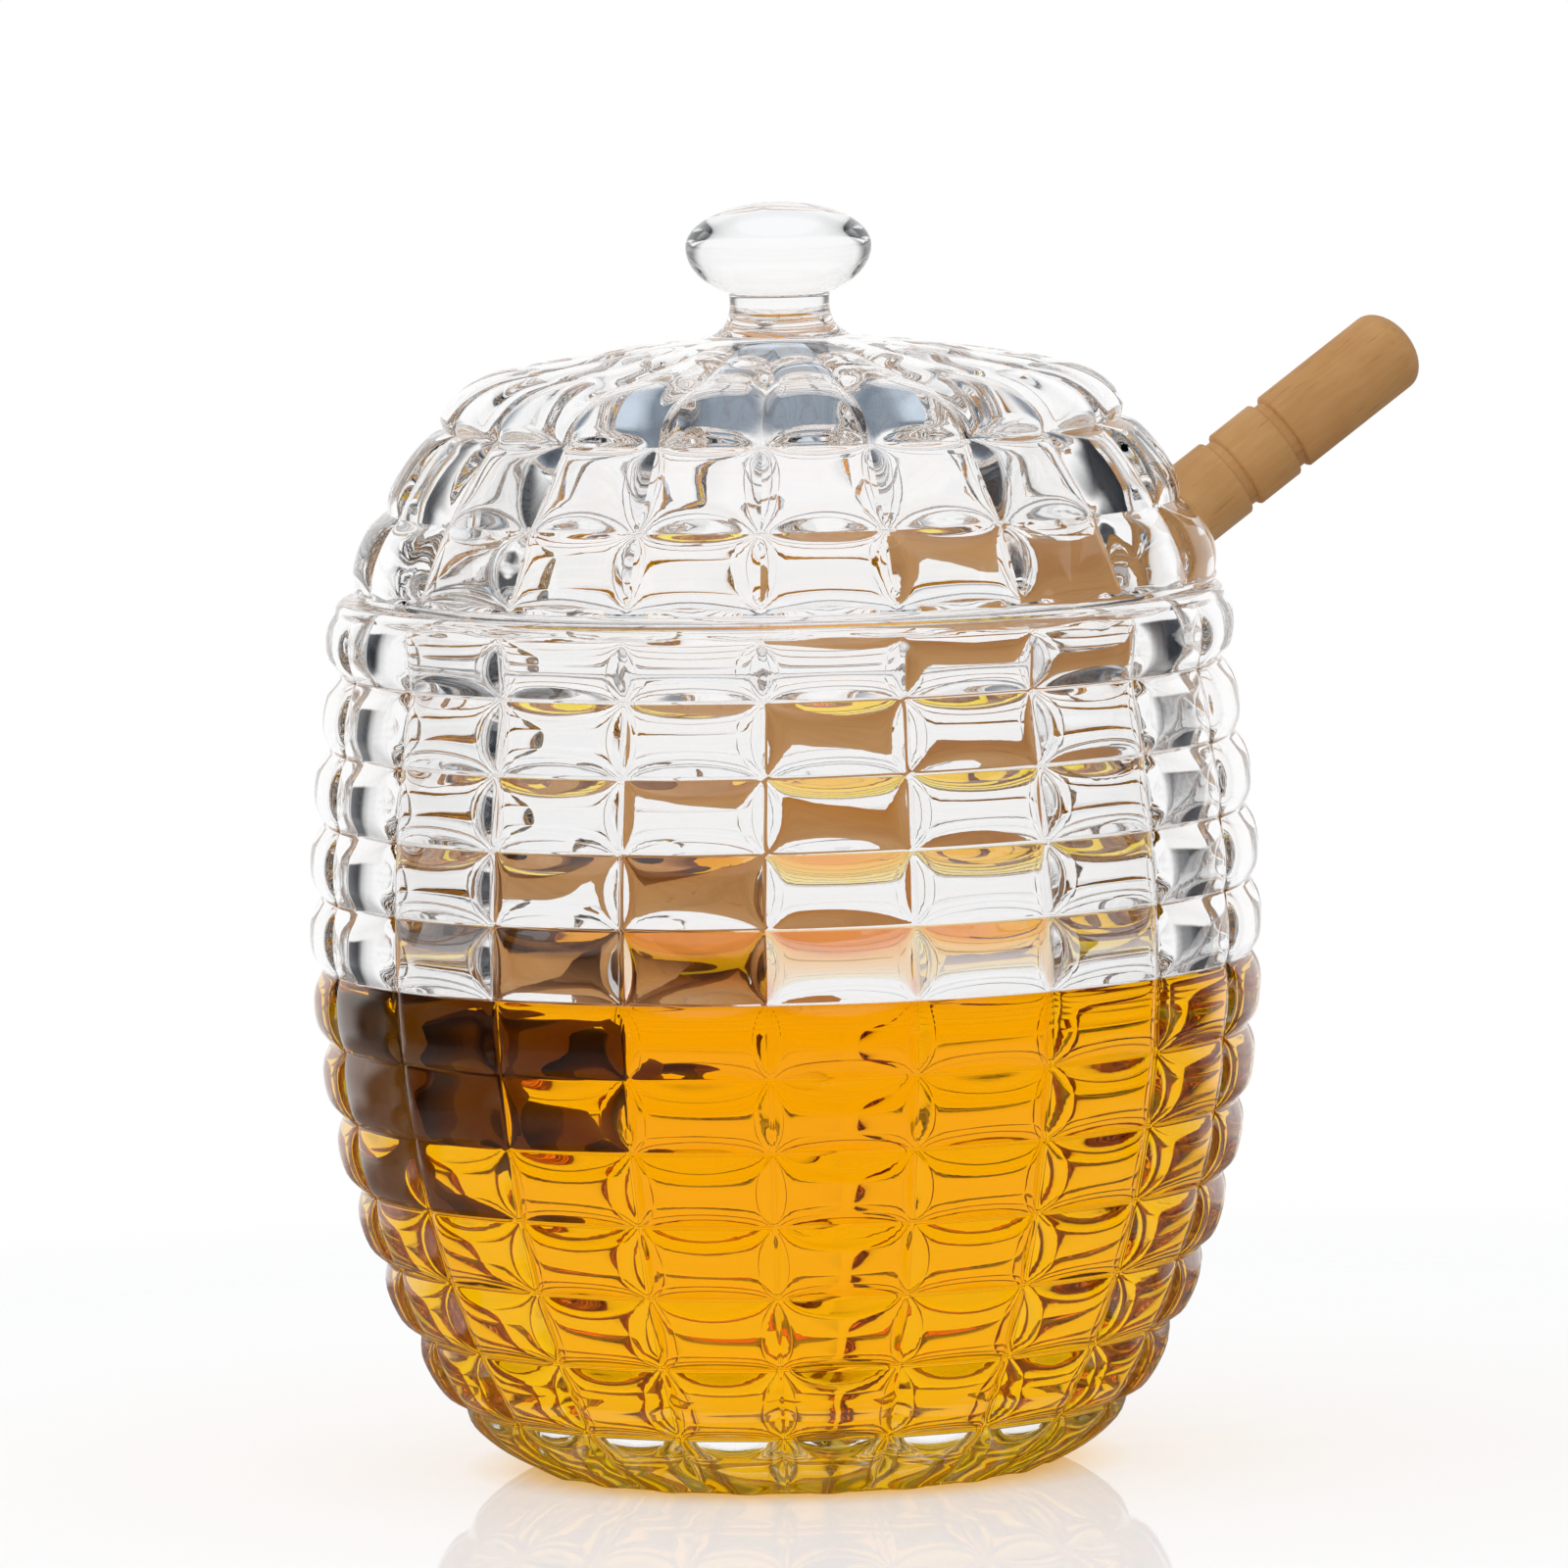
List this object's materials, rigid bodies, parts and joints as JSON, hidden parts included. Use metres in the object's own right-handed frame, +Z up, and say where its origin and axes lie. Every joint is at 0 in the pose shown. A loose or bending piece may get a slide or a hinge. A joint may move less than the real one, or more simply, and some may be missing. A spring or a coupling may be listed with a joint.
{
  "type": "honey jar with dipper",
  "caption": "Barrel-shaped jar of clear pressed glass with cushion cells, a knobbed and notched lid, honey inside, and a turned wooden dipper that leans out through the notch.",
  "frame": {"origin": "centre of the flat base that the jar stands on", "axes": "+Z up along the jar's axis, front towards -Y, the dipper's handle towards +X and a little +Y"},
  "size_m": [0.1177, 0.0998, 0.1321],
  "materials": {
    "glass": "clear pressed glass, fire-polished",
    "beech": "turned and sanded beech, bare",
    "honey": "clear golden liquid honey"
  },
  "bodies": {
    "root": {"jar": "glass", "lid": "glass", "dipper": "beech", "honey": "honey"}
  },
  "joints": []
}
